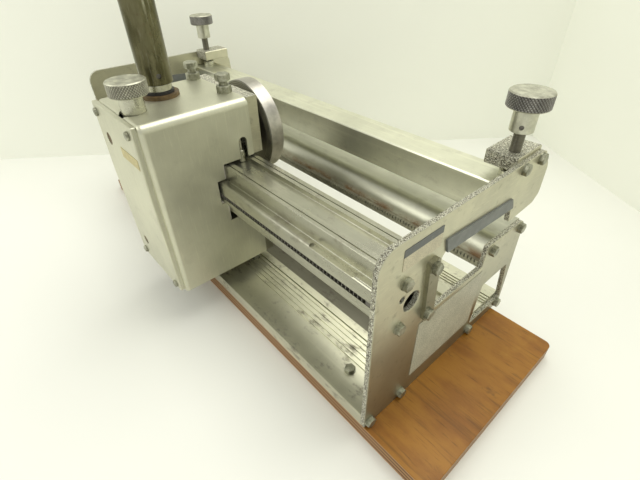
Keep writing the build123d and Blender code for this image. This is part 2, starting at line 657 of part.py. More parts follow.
def front_cover():
    """Shallow creased pan over the head's open front."""
    x = (HEAD_X[0] + FRONT_INSET, HEAD_X[1] - SIDE_BEND_R)
    levels = (HEAD_FOOT + FRONT_INSET, FRONT_CREASE_H, HEAD_TOP - FRONT_INSET)
    outline = [(front_face_d(h), h) for h in levels]
    outline += [(HEAD_FRONT, levels[2]), (HEAD_FRONT, levels[0])]
    cover = side_plate(outline, x)
    rising = cover.edges().filter_by(Axis.Z, FRONT_TILT)
    cover = fillet(rising.filter_by(lambda edge: edge.center().Y < yy(HEAD_FRONT - FRONT_STAND / 2)), FRONT_EDGE_R)
    low, high = levels[0] + FRONT_T, levels[2] - FRONT_T
    hollow = [(front_face_d(low) + FRONT_T, low), (front_face_d(FRONT_CREASE_H) + FRONT_T, FRONT_CREASE_H),
              (front_face_d(high) + FRONT_T, high), (HEAD_FRONT + 1, high), (HEAD_FRONT + 1, low)]
    cover -= side_plate(hollow, (x[0] + FRONT_T, x[1] - FRONT_T))
    for x_screw, h in FRONT_SCREWS:
        cover += along_y(x_screw, (front_face_d(h) + FRONT_T / 2, HEAD_FRONT), h, PAN_HEAD_R)
        cover -= along_y(x_screw, (front_face_d(h) - 1, HEAD_FRONT + 1), h, FRONT_SCREW_R + THREAD_GAP)
    for x_hole, h, r in FRONT_PORTS:
        cover -= along_y(x_hole, (front_face_d(h) - 1, HEAD_FRONT + 1), h, r)
    return cover


def cover_plugs():
    """Fibre plugs that close the two round ports of the front cover from behind."""
    plugs = []
    for x, h, r in FRONT_PORTS:
        inner = front_face_d(h) + FRONT_T + PLUG_BACK
        plugs.append(along_y(x, (front_face_d(h) + PLUG_SUNK, inner + PLUG_BACK), h, r)
                     + along_y(x, (inner, inner + PLUG_BACK), h, r + PLUG_BACK))
    return Compound(children=plugs)


def front_screws():
    screws = []
    for x, h in FRONT_SCREWS:
        face = front_face_d(h) - 0.2
        head = along_y(x, (face - PAN_HEAD_T, face), h, PAN_HEAD_R)
        head = fillet(head.edges().filter_by(GeomType.CIRCLE).group_by(Axis.Y)[0], 1.6)
        screws.append(head + along_y(x, (face - 1, HEAD_FRONT + SHEET_T + 1.5), h, FRONT_SCREW_R))
    return Compound(children=screws)


def head_label():
    (x0, h0), (x1, h1) = HEAD_LABEL
    low, high = front_face_d(h0), front_face_d(h1)
    outline = [(low, h0), (high, h1), (high - LABEL_T, h1), (low - LABEL_T, h0)]
    return side_plate(outline, (x0, x1))


def inner_x():
    return (HEAD_X[0] + SHEET_T, HEAD_X[1] - SHEET_T)


def rear_plate_upper():
    """Back wall above the rail, with a window for the lift plate."""
    plate = block(inner_x(), (HEAD_BACK, HEAD_BACK + REAR_PLATE_T), (RAIL_TOP + NOTCH_GAP, HEAD_TOP))
    mouth = (BLOCK_X[0] - 2.0, BLOCK_X[1] + 2.0)
    return plate - block(mouth, (HEAD_BACK - 1, HEAD_BACK + REAR_PLATE_T + 1),
                         (LIFT_H[0] - ROLLER_TRAVEL - 1.0, LIFT_H[1] + 1.0))


def rear_plate_lower():
    return block(inner_x(), (HEAD_BACK, HEAD_BACK + REAR_PLATE_T),
                 (HEAD_FOOT, RAIL_FOOT - NOTCH_GAP))


def spine_plate():
    front = HEAD_FRONT + SHEET_T
    plate = block(inner_x(), (front, front + SPINE_T), (LOWER_SHELF_H, UPPER_SHELF_H + SHELF_T))
    return fillet(plate.edges().filter_by(Axis.Z).group_by(Axis.Y)[0], SIDE_BEND_R - SHEET_T)


def shelf(h):
    front = HEAD_FRONT + SHEET_T + SPINE_T
    plate = block(inner_x(), (front, HEAD_BACK), (h, h + SHELF_T))
    return plate - upright(SHAFT_X, SHAFT_D, (h - 1, h + SHELF_T + 1), BUSH_R)


def upper_shelf():
    """Carries the upper shaft bush, the guide posts and the foot of the adjusting screw."""
    plate = shelf(UPPER_SHELF_H)
    limits = (UPPER_SHELF_H - 1, UPPER_SHELF_H + SHELF_T + 1)
    plate -= upright(ADJUST_X, ADJUST_D, limits, ADJUST_SCREW_R + RUN)
    return plate - upright(POST_X, KEYWAY_D, limits, POST_NECK_R)


def lower_shelf():
    return shelf(LOWER_SHELF_H)


def shaft_bush(h):
    """Plain bush pressed into a shelf."""
    limits = (h, h + SHELF_T)
    return upright(SHAFT_X, SHAFT_D, limits, BUSH_R) - upright(SHAFT_X, SHAFT_D, limits, SHAFT_R + RUN)


def guide_blocks(h):
    """Two nylon blocks, one at each side of the head, that run along the rail."""
    left, right = inner_x()
    back = RAIL_WALL_D - FIT if h[0] > LEDGE_H else RAIL_LOW_D - FIT
    spans = ((left, left + GUIDE_W), (right - GUIDE_W, right))
    return Compound(children=[block(span, (GUIDE_D, back), h) for span in spans])


def guide_post():
    """Upright post behind the keyway; its foot runs in the rail's channel."""
    foot = upright(POST_X, KEYWAY_D, (CHANNEL_H + FIT, POST_TOP), POST_R)
    foot = chamfer(foot.edges().filter_by(GeomType.CIRCLE), CHAMFER)
    return foot + upright(POST_X, KEYWAY_D, (POST_TOP - 1, UPPER_SHELF_H + SHELF_T), POST_NECK_R)


def lift_plate():
    """Plate that the adjusting screw raises and lowers with the upper roller block."""
    plate = block(LIFT_X, (HEAD_FRONT + SHEET_T + 2.0, HEAD_BACK - 1.0), LIFT_H)
    plate += block(BLOCK_X, (HEAD_BACK - 2.0, BLOCK_D[1]), LIFT_H)
    limits = (LIFT_H[0] - 1, LIFT_H[1] + 1)
    plate -= upright(SHAFT_X, SHAFT_D, limits, SHAFT_R + 2.0)
    return plate - upright(ADJUST_X, ADJUST_D, limits, ADJUST_SCREW_R + RUN)


def roller_block():
    """Bearing block of the upper roller, hung under the lift plate."""
    body = softened(block(BLOCK_X, BLOCK_D, (BLOCK_FOOT, LIFT_H[0])), 0.8)
    return body - along_y(ROLLER_X, (BLOCK_D[0] - 1, BLOCK_D[1] + 1), ROLLER_H, AXLE_R)


def lower_block():
    """Bearing block of the lower roller, on the lower back wall."""
    d = (HEAD_BACK + REAR_PLATE_T, BLOCK_D[1])
    body = softened(block(BLOCK_X, d, LOWER_BLOCK_H), 0.8)
    return body - along_y(ROLLER_X, (d[0] - 1, d[1] + 1), LOWER_ROLLER_H, AXLE_R)


def roller_axle(h):
    """Stub axle with an end flange behind the roller."""
    back = ROLLER_D[1] + FIT
    axle = along_y(ROLLER_X, (BLOCK_D[0] + 1.0, back), h, AXLE_R)
    axle += along_y(ROLLER_X, (back, back + AXLE_END_T), h, AXLE_END_R)
    return axle + along_y(ROLLER_X, (BLOCK_D[1], ROLLER_D[0] - FIT), h, AXLE_END_R - 1.0)


def upper_roller():
    """Pressing wheel: flat rim, turned ring at its front face, webbed middle."""
    wheel = along_y(ROLLER_X, ROLLER_D, ROLLER_H, ROLLER_R)
    wheel = chamfer(wheel.edges().filter_by(GeomType.CIRCLE), 0.8)
    for d in ((ROLLER_D[0] - 1, ROLLER_D[0] + ROLLER_RECESS), (ROLLER_D[1] - ROLLER_RECESS, ROLLER_D[1] + 1)):
        ring = along_y(ROLLER_X, d, ROLLER_H, ROLLER_RING_R)
        wheel -= ring - along_y(ROLLER_X, d, ROLLER_H, ROLLER_HUB_R)
    return wheel - along_y(ROLLER_X, (ROLLER_D[0] - 1, ROLLER_D[1] + 1), ROLLER_H, AXLE_R + RUN)


def lower_roller():
    wheel = along_y(ROLLER_X, ROLLER_D, LOWER_ROLLER_H, LOWER_ROLLER_R)
    wheel = chamfer(wheel.edges().filter_by(GeomType.CIRCLE), 0.8)
    return wheel - along_y(ROLLER_X, (ROLLER_D[0] - 1, ROLLER_D[1] + 1), LOWER_ROLLER_H, AXLE_R + RUN)


def stop_bolts():
    """Two stop bolts with lock nuts; their tips limit the lift plate."""
    bolts = []
    for x, d in STOP_BOLTS:
        nut = hexagon_z(x, d, (HEAD_TOP, HEAD_TOP + STOP_NUT_H), STOP_AF)
        head_h = HEAD_TOP + STOP_NUT_H + STOP_RISE
        head = hexagon_z(x, d, (head_h, head_h + STOP_HEAD_H), STOP_AF)
        head = chamfer(head.edges().group_by(Axis.Z)[-1], 0.8)
        nut = chamfer(nut.edges().group_by(Axis.Z)[-1], 0.8)
        bolts.append(nut + head + upright(x, d, (LIFT_H[1] + FIT, head_h + 1), STOP_R))
    return Compound(children=bolts)


# ---------------------------------------------------------------- drive
def drive_pinion():
    """Involute pinion on the vertical shaft, one tooth space facing the rack's tooth."""
    base = PINION_R * math.cos(PRESSURE_ANGLE)
    tip = PINION_R + GEAR_MODULE - BACKLASH / 2
    root = PINION_R - 1.25 * GEAR_MODULE
    involute_at_pitch = math.tan(PRESSURE_ANGLE) - PRESSURE_ANGLE
    half_tooth = math.pi / PINION_TEETH / 2 - BACKLASH / 2 / PINION_R

    def flank(radius):
        """Angle from the tooth's middle to its flank at a radius."""
        angle = math.acos(min(1.0, base / max(radius, base)))
        return half_tooth + involute_at_pitch - (math.tan(angle) - angle)

    radii = [root, base, base + (tip - base) / 3, base + 2 * (tip - base) / 3, tip]
    points = []
    for tooth in range(PINION_TEETH):
        middle = math.pi / 2 + 2 * math.pi * tooth / PINION_TEETH
        rising = [(r, middle - flank(r)) for r in radii]
        falling = [(r, middle + flank(r)) for r in reversed(radii)]
        for r, a in rising + falling:
            points.append((SHAFT_X + r * math.cos(a), yy(SHAFT_D) + r * math.sin(a)))
    outline = make_face(Polyline(*points, close=True))
    gear = extrude(Plane.XY.offset(zz(PINION_H)) * outline, amount=PINION_T)
    hub = upright(SHAFT_X, SHAFT_D, (PINION_H + PINION_T, PINION_H + 3 * PINION_T), SHAFT_R + 4.0)
    limits = (PINION_H - 1, PINION_H + 3 * PINION_T + 1)
    return gear + hub - upright(SHAFT_X, SHAFT_D, limits, SHAFT_R)


def drive_shaft():
    shaft = upright(SHAFT_X, SHAFT_D, (LOWER_SHELF_H - 3.0, TUBE_H[0] + TUBE_PLUG - 2.0), SHAFT_R)
    shaft = chamfer(shaft.edges().filter_by(GeomType.CIRCLE), 1.0)
    shaft += upright(SHAFT_X, SHAFT_D, (HEAD_TOP + SEAT_T + SEAL_T + FIT, TUBE_H[0]), STUB_R)
    return shaft - pin_hole()


def cross_bar(half_length):
    """Cylinder across the crank's axis at the pin's height, near the direction of the rail."""
    bar = Rot(0, 0, PIN_TURN) * Rot(0, 90, 0) * Cylinder(PIN_R, 2 * half_length)
    return Pos(SHAFT_X, yy(SHAFT_D), zz(PIN_H)) * bar


def pin_hole():
    return cross_bar(TUBE_R + 1)


def crank_tube():
    """Tube that slips over the shaft's top end and is pinned to it."""
    tube = upright(SHAFT_X, SHAFT_D, TUBE_H, TUBE_R)
    tube = chamfer(tube.edges().filter_by(GeomType.CIRCLE).group_by(Axis.Z)[0], 0.8)
    tube -= upright(SHAFT_X, SHAFT_D, (TUBE_H[0] + TUBE_PLUG, TUBE_H[1] + 1), TUBE_R - TUBE_WALL)
    tube -= upright(SHAFT_X, SHAFT_D, (TUBE_H[0] - 1, TUBE_H[0] + TUBE_PLUG), TUBE_BORE_R)
    return tube - pin_hole()


def crank_pin():
    return cross_bar(TUBE_R - 2.5)


def grip_x():
    return SHAFT_X - CRANK_ARM_L


def crank_arm():
    """Flat arm with a capped hub on the tube and a rounded outer end."""
    h = (TUBE_H[1], TUBE_H[1] + CRANK_ARM_T)
    half = CRANK_ARM_W / 2
    arm = block((grip_x(), SHAFT_X), (SHAFT_D - half, SHAFT_D + half), h)
    arm += upright(grip_x(), SHAFT_D, h, half)
    arm += upright(SHAFT_X, SHAFT_D, (TUBE_H[1] - CRANK_ARM_T, h[1]), CRANK_HUB_R)
    arm = chamfer(arm.edges().group_by(Axis.Z)[-1], 1.2)
    arm -= upright(SHAFT_X, SHAFT_D, (TUBE_H[1] - CRANK_ARM_T - 1, TUBE_H[1]), TUBE_R)
    return arm - upright(grip_x(), SHAFT_D, (h[0] - 1, h[1] + 1), GRIP_AXLE_R)


def grip_axle():
    low = TUBE_H[1]
    top = low + CRANK_ARM_T + FIT + GRIP_L + FIT
    axle = upright(grip_x(), SHAFT_D, (low, top), GRIP_AXLE_R)
    cap = upright(grip_x(), SHAFT_D, (top, top + GRIP_CAP_T), GRIP_CAP_R)
    return axle + fillet(cap.edges().filter_by(GeomType.CIRCLE).group_by(Axis.Z)[-1], 1.4)


def crank_grip():
    """Turned grip, fullest in the middle."""
    low = zz(TUBE_H[1] + CRANK_ARM_T + FIT)
    waist = GRIP_R * 0.72
    outline = [(GRIP_AXLE_R + RUN, 0), (waist, 0)]
    edge = Polyline(*outline) + Spline((waist, 0), (GRIP_R, GRIP_L * 0.45), (waist, GRIP_L))
    edge += Polyline((waist, GRIP_L), (GRIP_AXLE_R + RUN, GRIP_L), (GRIP_AXLE_R + RUN, 0))
    grip = revolve(Plane.XZ * make_face(edge), axis=Axis.Z)
    return Pos(grip_x(), yy(SHAFT_D), low) * grip


def washer_z(h, outer, inner):
    return upright(SHAFT_X, SHAFT_D, h, outer) - upright(SHAFT_X, SHAFT_D, h, inner)


def adjust_screw():
    """Knurled knob's shank and the screw that drives the lift plate."""
    h = (HEAD_TOP - 6.0, ADJUST_KNOB_H[0])
    shank = upright(ADJUST_X, ADJUST_D, h, ADJUST_SHANK_R)
    screw = upright(ADJUST_X, ADJUST_D, (UPPER_SHELF_H + 2.0, h[0] + 1), ADJUST_SCREW_R)
    spigot = upright(ADJUST_X, ADJUST_D, (h[1] - 1, ADJUST_KNOB_H[1] - 3.0), KNOB_BORE_R)
    return shank + screw + spigot


def adjust_knob():
    knob = upright(ADJUST_X, ADJUST_D, ADJUST_KNOB_H, ADJUST_KNOB_R)
    knob = chamfer(knob.edges().filter_by(GeomType.CIRCLE), KNOB_CHAMFER)
    limits = (ADJUST_KNOB_H[0] - 1, ADJUST_KNOB_H[1] - 3.0)
    return knob - upright(ADJUST_X, ADJUST_D, limits, KNOB_BORE_R)


# ---------------------------------------------------------------- assembly
def frame_nodes():
    rail = [frame_bolt(d, h) for d, h in RAIL_BOLTS[:2]]
    rail += [frame_bolt(d, h, seat=STRAP_T) for d, h in RAIL_BOLTS[2:]]
    parts["base_board"] = base_board()
    parts["base_extrusion"] = base_extrusion()
    parts["front_rail"] = front_rail()
    parts["drive_rack"] = drive_rack()
    parts["belt_support"] = belt_support()
    parts["comb_strip"] = comb_strip()
    parts["rail_bolts"] = both_ends(rail)
    parts["support_bolts"] = both_ends([frame_bolt(d, h) for d, h in SUPPORT_BOLTS])
    parts["base_bolts"] = both_ends([frame_bolt(d, BASE_BOLT_H) for d in BASE_BOLT_D])
    parts["clamp_block_bolts"] = both_ends([frame_bolt(d, CLAMP_BLOCK_BOLT_H) for d in CLAMP_BLOCK_BOLTS])
    parts["deck_bolts"] = Compound(children=[deck_bolt(x, d) for x, d in DECK_BOLTS])
    parts["instruction_label_upper"] = label_upper()
    parts["instruction_label_lower"] = label_lower()


def paired_nodes():
    """Pieces that come once for each end of the frame."""
    separate = {"end_plate": end_plate, "clamp_screw": clamp_screw, "clamp_knob": clamp_knob,
                "set_screw": set_screw}
    for name, maker in separate.items():
        piece = maker()
        parts[name + "_right"] = piece
        parts[name + "_left"] = mirrored(piece)
    together = {"edge_trims": edge_trim, "throat_straps": throat_strap, "clamp_blocks": clamp_block,
                "swivel_pads": swivel_pad}
    for name, maker in together.items():
        parts[name] = both_ends([maker()])


def head_nodes():
    top = HEAD_TOP
    parts["head_cover"] = head_cover()
    parts["front_cover"] = front_cover()
    parts["front_cover_screws"] = front_screws()
    parts["cover_plugs"] = cover_plugs()
    parts["head_label"] = head_label()
    parts["rear_plate_upper"] = rear_plate_upper()
    parts["rear_plate_lower"] = rear_plate_lower()
    parts["spine_plate"] = spine_plate()
    parts["upper_shelf"] = upper_shelf()
    parts["lower_shelf"] = lower_shelf()
    parts["shaft_bush_upper"] = shaft_bush(UPPER_SHELF_H)
    parts["shaft_bush_lower"] = shaft_bush(LOWER_SHELF_H)
    parts["guide_blocks_upper"] = guide_blocks((LEDGE_H + GUIDE_LIFT, UPPER_SHELF_H))
    parts["guide_blocks_lower"] = guide_blocks((LOWER_SHELF_H + SHELF_T, STRIP_H[0] - FIT))
    parts["guide_post"] = guide_post()
    parts["stop_bolts"] = stop_bolts()
    parts["fibre_washer"] = washer_z((top, top + SEAT_T), SEAT_R, SHAFT_R + 0.5)
    parts["shaft_seal"] = washer_z((top + SEAT_T, top + SEAT_T + SEAL_T), SEAL_R, SHAFT_R + 0.5)
    parts["lower_roller_block"] = lower_block()
    parts["lower_roller_axle"] = roller_axle(LOWER_ROLLER_H)
    parts["lower_roller"] = lower_roller()
    parts["lift_plate"] = lift_plate()
    parts["upper_roller_block"] = roller_block()
    parts["upper_roller_axle"] = roller_axle(ROLLER_H)
    parts["upper_roller"] = upper_roller()
    parts["adjust_screw"] = adjust_screw()
    parts["adjust_knob"] = adjust_knob()


def drive_nodes():
    parts["drive_shaft"] = drive_shaft()
    parts["drive_pinion"] = drive_pinion()
    parts["crank_tube"] = crank_tube()
    parts["crank_pin"] = crank_pin()
    parts["crank_arm"] = crank_arm()
    parts["grip_axle"] = grip_axle()
    parts["crank_grip"] = crank_grip()


parts["clamp_bar"] = clamp_bar()
frame_nodes()
paired_nodes()
head_nodes()
drive_nodes()

os.makedirs("parts", exist_ok=True)
for node_name, shape in parts.items():
    export_step(shape, f"parts/{node_name}.step")
print(len(parts), "nodes")
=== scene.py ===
import math
import bpy
from mathutils import Matrix, Vector


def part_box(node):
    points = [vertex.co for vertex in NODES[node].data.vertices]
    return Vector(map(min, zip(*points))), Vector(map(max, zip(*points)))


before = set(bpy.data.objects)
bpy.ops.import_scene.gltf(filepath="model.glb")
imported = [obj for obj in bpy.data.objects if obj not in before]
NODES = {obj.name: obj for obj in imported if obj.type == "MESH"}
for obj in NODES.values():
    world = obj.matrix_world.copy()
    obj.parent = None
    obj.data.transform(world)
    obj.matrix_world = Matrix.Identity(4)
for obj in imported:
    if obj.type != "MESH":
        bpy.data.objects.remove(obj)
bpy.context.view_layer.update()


def corners(pair):
    return [[float(v) for v in corner] for corner in pair]


# ---------------------------------------------------------------- node graph helpers
class Graph:
    """A material's shader graph, built a node at a time."""

    def __init__(self, name):
        self.mat = bpy.data.materials.new(name)
        self.mat.use_nodes = True
        self.tree = self.mat.node_tree
        self.bsdf = self.tree.nodes["Principled BSDF"]
        self.coords = self.tree.nodes.new("ShaderNodeTexCoord").outputs["Object"]
        self.bumps = None

    def put(self, socket, value):
        if isinstance(value, bpy.types.NodeSocket):
            self.tree.links.new(value, socket)
        elif isinstance(value, (tuple, list)) and socket.type == "RGBA" and len(value) == 3:
            socket.default_value = (*value, 1.0)
        else:
            socket.default_value = value

    def math(self, op, a, b=0.0, clamp=False):
        node = self.tree.nodes.new("ShaderNodeMath")
        node.operation = op
        node.use_clamp = clamp
        self.put(node.inputs[0], a)
        if op not in ("SINE", "ABSOLUTE", "SQRT", "COSINE", "FRACT"):
            self.put(node.inputs[1], b)
        return node.outputs[0]

    def split(self, vector=None):
        node = self.tree.nodes.new("ShaderNodeSeparateXYZ")
        self.put(node.inputs[0], vector or self.coords)
        return node.outputs

    def normal(self):
        return self.split(self.tree.nodes.new("ShaderNodeNewGeometry").outputs["Normal"])

    def noise(self, scale, stretch=(1, 1, 1), detail=4.0, rough=0.55, shift=(0, 0, 0)):
        node = self.tree.nodes.new("ShaderNodeMapping")
        self.put(node.inputs["Vector"], self.coords)
        node.inputs["Scale"].default_value = stretch
        node.inputs["Location"].default_value = shift
        tex = self.tree.nodes.new("ShaderNodeTexNoise")
        self.put(tex.inputs["Vector"], node.outputs[0])
        tex.inputs["Scale"].default_value = scale
        tex.inputs["Detail"].default_value = detail
        tex.inputs["Roughness"].default_value = rough
        return tex.outputs[0]

    def ramp(self, value, low, high, a=0.0, b=1.0):
        node = self.tree.nodes.new("ShaderNodeMapRange")
        node.interpolation_type = "SMOOTHSTEP"
        self.put(node.inputs["Value"], value)
        for key, number in (("From Min", low), ("From Max", high), ("To Min", a), ("To Max", b)):
            node.inputs[key].default_value = number
        return node.outputs["Result"]

    def mix(self, fac, a, b):
        node = self.tree.nodes.new("ShaderNodeMix")
        node.data_type = "RGBA"
        self.put(node.inputs["Factor"], fac)
        self.put(node.inputs["A"], a)
        self.put(node.inputs["B"], b)
        return node.outputs["Result"]

    def bump(self, height, strength, distance):
        node = self.tree.nodes.new("ShaderNodeBump")
        self.put(node.inputs["Height"], height)
        node.inputs["Strength"].default_value = strength
        node.inputs["Distance"].default_value = distance
        if self.bumps is not None:
            self.put(node.inputs["Normal"], self.bumps)
        self.bumps = node.outputs[0]

    def done(self, color, rough, metal=0.0, **more):
        self.put(self.bsdf.inputs["Base Color"], color)
        self.put(self.bsdf.inputs["Roughness"], rough)
        self.put(self.bsdf.inputs["Metallic"], metal)
        for key, value in more.items():
            self.put(self.bsdf.inputs[key.replace("_", " ")], value)
        if self.bumps is not None:
            self.put(self.bsdf.inputs["Normal"], self.bumps)
        return self.mat


# ---------------------------------------------------------------- metals
def metal(name, base, rough=0.38, stretch=(1, 1, 1), grain=600.0, grain_depth=0.00004, dirt=(0.16, 0.14, 0.11),
          dirt_amount=0.35, metallic=0.92, sawn=False, blotch=22.0, foot=None):
    """Worn bare metal: brushed grain, blotches, fine scratches, grime in low spots, duller towards the foot."""
    g = Graph(name)
    fine = g.noise(grain, stretch, 3.0, 0.6)
    cloud = g.noise(blotch, (1, 1, 1), 5.0, 0.6)
    patch = g.noise(blotch * 4.2, (1, 1, 1), 6.0, 0.7, (0.3, 0.7, 0.2))
    dark = tuple(c * 0.82 for c in base)
    light = tuple(min(1.0, c * 1.12) for c in base)
    color = g.mix(g.ramp(cloud, 0.30, 0.72), dark, base)
    color = g.mix(g.math("MULTIPLY", g.ramp(fine, 0.52, 0.75), 0.5), color, light)
    grime = g.math("MULTIPLY", g.ramp(patch, 0.56, 0.72), dirt_amount, True)
    color = g.mix(grime, color, dirt)
    if foot is not None:
        color = g.mix(g.ramp(g.split()[2], foot[0], foot[1], foot[2], 0.0), color, dirt)
    worn = g.math("ADD", rough - 0.06, g.math("MULTIPLY", cloud, 0.14))
    roughness = g.math("ADD", worn, g.math("MULTIPLY", grime, 0.4), True)
    if sawn:
        nx = g.math("ABSOLUTE", g.normal()[0])
        edge = g.ramp(nx, 0.35, 0.75, 1.0, 0.0)
        teeth = g.noise(620.0, (1.0, 0.7, 0.7), 5.0, 0.85)
        pits = g.ramp(g.noise(760.0, (0.8, 1, 1), 3.0, 0.7), 0.40, 0.60)
        # Painted glint: bright near-white specks on the sawn edge stand in for sparkling reflections; the dark pits
        # are the cut's own marks.
        painted_glint = g.ramp(g.noise(1150.0, (1, 1, 1), 2.0, 0.5, (0.2, 0.1, 0.4)), 0.54, 0.64)
        cut = g.mix(painted_glint, g.mix(pits, (0.10, 0.09, 0.07), (0.60, 0.58, 0.47)), (1.0, 1.0, 0.90))
        color = g.mix(g.math("MULTIPLY", edge, 0.92), color, cut)
        roughness = g.math("ADD", roughness, g.math("MULTIPLY", edge, 0.08), True)
        g.bump(g.math("MULTIPLY", teeth, edge), 1.0, 0.0016)
    g.bump(fine, 0.35, grain_depth)
    return g.done(color, roughness, metallic)


def rail_metal(name, base, rough, dirt_amount, stain=None, recess_shade=None):
    """Extrusion: die lines along X, smears and dust; stain adds rust low down; the last argument paints shade into a
    recessed band of depth, as if in deep shadow.
    """
    g = Graph(name)
    lines = g.noise(1500.0, (0.004, 1, 1), 3.0, 0.6)
    wide = g.noise(160.0, (0.05, 1, 1), 3.0, 0.5)
    cloud = g.noise(16.0, (1, 1, 1), 6.0, 0.62)
    patch = g.noise(70.0, (0.6, 1, 1), 6.0, 0.7)
    color = g.mix(g.ramp(cloud, 0.30, 0.70), tuple(c * 0.84 for c in base), base)
    color = g.mix(g.math("MULTIPLY", g.ramp(wide, 0.5, 0.7), 0.35), color, tuple(min(1, c * 1.2) for c in base))
    grime = g.math("MULTIPLY", g.ramp(patch, 0.52, 0.70), dirt_amount, True)
    color = g.mix(grime, color, (0.17, 0.145, 0.11))
    roughness = g.math("ADD", g.math("ADD", rough - 0.05, g.math("MULTIPLY", cloud, 0.12)),
                       g.math("MULTIPLY", grime, 0.35), True)
    if stain is not None:
        low, high = stain
        height = g.ramp(g.split()[2], low, high, 1.0, 0.0)
        spots = g.ramp(g.noise(45.0, (0.5, 1, 1), 5.0, 0.7), 0.38, 0.62)
        rust = g.math("MULTIPLY", g.math("MULTIPLY", height, spots), 0.85, True)
        color = g.mix(rust, color, (0.30, 0.165, 0.075))
        roughness = g.math("ADD", roughness, g.math("MULTIPLY", rust, 0.35), True)
    # Painted shade: the recessed floor band is darkened as if lying in deep shadow under the rail.
    if recess_shade is not None:
        near, far, top = recess_shade
        y, z = g.split()[1], g.split()[2]
        band = g.math("MULTIPLY", g.ramp(y, near - 0.001, near), g.ramp(y, far, far + 0.001, 1.0, 0.0))
        band = g.math("MULTIPLY", band, g.ramp(z, top - 0.0006, top, 1.0, 0.0))
        color = g.mix(g.math("MULTIPLY", band, 0.8), color, (0.085, 0.078, 0.062))
    g.bump(lines, 0.4, 0.00005)
    return g.done(color, roughness, 0.9)


def round_parts(g, cx, cy):
    """Angle and height about a vertical axis."""
    x, y, z = g.split()
    return g.math("ARCTAN2", g.math("SUBTRACT", y, cy), g.math("SUBTRACT", x, cx)), z


def knurled(name, box, base=(0.36, 0.35, 0.33), teeth=46, pitch=0.0032):
    """Diamond knurl on the rim of a knob, turned faces above and below."""
    low, high = box
    cx, cy = (low[0] + high[0]) / 2, (low[1] + high[1]) / 2
    g = Graph(name)
    angle, z = round_parts(g, cx, cy)
    around = g.math("MULTIPLY", angle, teeth / 2.0)
    climb = g.math("MULTIPLY", z, math.pi / pitch)
    a = g.math("ABSOLUTE", g.math("SINE", g.math("ADD", around, climb)))
    b = g.math("ABSOLUTE", g.math("SINE", g.math("SUBTRACT", around, climb)))
    diamonds = g.math("MINIMUM", a, b)
    side = g.ramp(g.math("ABSOLUTE", g.normal()[2]), 0.30, 0.60, 1.0, 0.0)
    cut = g.math("MULTIPLY", diamonds, side)
    # Painted shade: the knurl valleys are darkened as if shadowed between the diamonds.
    valley_shade = g.math("MULTIPLY", g.ramp(diamonds, 0.05, 0.50, 1.0, 0.0), side)
    cloud = g.noise(110.0, (1, 1, 1), 5.0, 0.65)
    color = g.mix(g.ramp(cloud, 0.35, 0.7), tuple(c * 0.66 for c in base), tuple(c * 1.15 for c in base))
    color = g.mix(g.math("MULTIPLY", valley_shade, 0.85), color, (0.055, 0.05, 0.04))
    flat = g.math("SUBTRACT", 1.0, side)
    turned = g.mix(g.ramp(cloud, 0.35, 0.65), (0.36, 0.35, 0.27), (0.62, 0.62, 0.50))
    color = g.mix(g.math("MULTIPLY", flat, 0.85), color, turned)
    g.bump(cut, 1.0, 0.0011)
    g.bump(g.noise(1400.0, (1, 1, 1), 3.0, 0.6), 0.25, 0.00006)
    return g.done(color, g.math("ADD", 0.36, g.math("MULTIPLY", cloud, 0.2)), 0.88)


def turned_wheel(name, box, base, ring_r):
    """Roller: dark face ring with fine bright turned grooves, and a burnished rim."""
    low, high = box
    cx, cz = (low[0] + high[0]) / 2, (low[2] + high[2]) / 2
    g = Graph(name)
    x, y, z = g.split()
    dx, dz = g.math("SUBTRACT", x, cx), g.math("SUBTRACT", z, cz)
    r = g.math("SQRT", g.math("ADD", g.math("MULTIPLY", dx, dx), g.math("MULTIPLY", dz, dz)))
    face = g.ramp(g.math("ABSOLUTE", g.normal()[1]), 0.4, 0.8)
    rings = g.math("SINE", g.math("MULTIPLY", r, 2 * math.pi / 0.0019))
    cloud = g.noise(60.0, (1, 1, 1), 5.0, 0.65)
    color = g.mix(g.ramp(cloud, 0.3, 0.7), tuple(c * 0.68 for c in base), base)
    # Painted shade: the recessed web inside the ring is darkened as if in shadow.
    web_shade = g.math("MULTIPLY", g.ramp(r, ring_r - 0.0008, ring_r, 1.0, 0.0), face)
    color = g.mix(g.math("MULTIPLY", web_shade, 0.5), color, (0.20, 0.19, 0.15))
    outer = g.math("MULTIPLY", g.ramp(r, ring_r, ring_r + 0.0006), face)
    color = g.mix(g.math("MULTIPLY", outer, 0.75), color, (0.10, 0.095, 0.075))
    groove = g.math("MULTIPLY", g.math("MULTIPLY", rings, face), g.ramp(r, ring_r, ring_r + 0.0006))
    color = g.mix(g.ramp(groove, 0.45, 0.95), color, (0.66, 0.65, 0.52))
    g.bump(groove, 0.7, 0.00025)
    across = g.noise(420.0, (0.3, 3.0, 0.3), 3.0, 0.6)
    g.bump(across, 0.3, 0.00005)
    rough = g.math("ADD", 0.24, g.math("MULTIPLY", cloud, 0.22))
    return g.done(color, rough, 0.92)


def zinc_tube(name):
    g = Graph(name)
    long = g.noise(260.0, (1, 1, 0.06), 4.0, 0.65)
    cloud = g.noise(38.0, (1, 1, 0.35), 6.0, 0.65)
    # Painted dark reflection: the tube's base colour is kept very dark to stand in for the dark surroundings it
    # reflects.
    color = g.mix(g.ramp(cloud, 0.32, 0.66), (0.075, 0.070, 0.032), (0.19, 0.178, 0.10))
    color = g.mix(g.math("MULTIPLY", g.ramp(long, 0.55, 0.72), 0.8), color, (0.42, 0.41, 0.31))
    spots = g.ramp(g.noise(190.0, (1, 1, 1), 5.0, 0.7), 0.60, 0.68)
    color = g.mix(g.math("MULTIPLY", spots, 0.6), color, (0.13, 0.10, 0.055))
    g.bump(long, 0.35, 0.0001)
    return g.done(color, g.math("ADD", 0.18, g.math("MULTIPLY", cloud, 0.2)), 0.9)


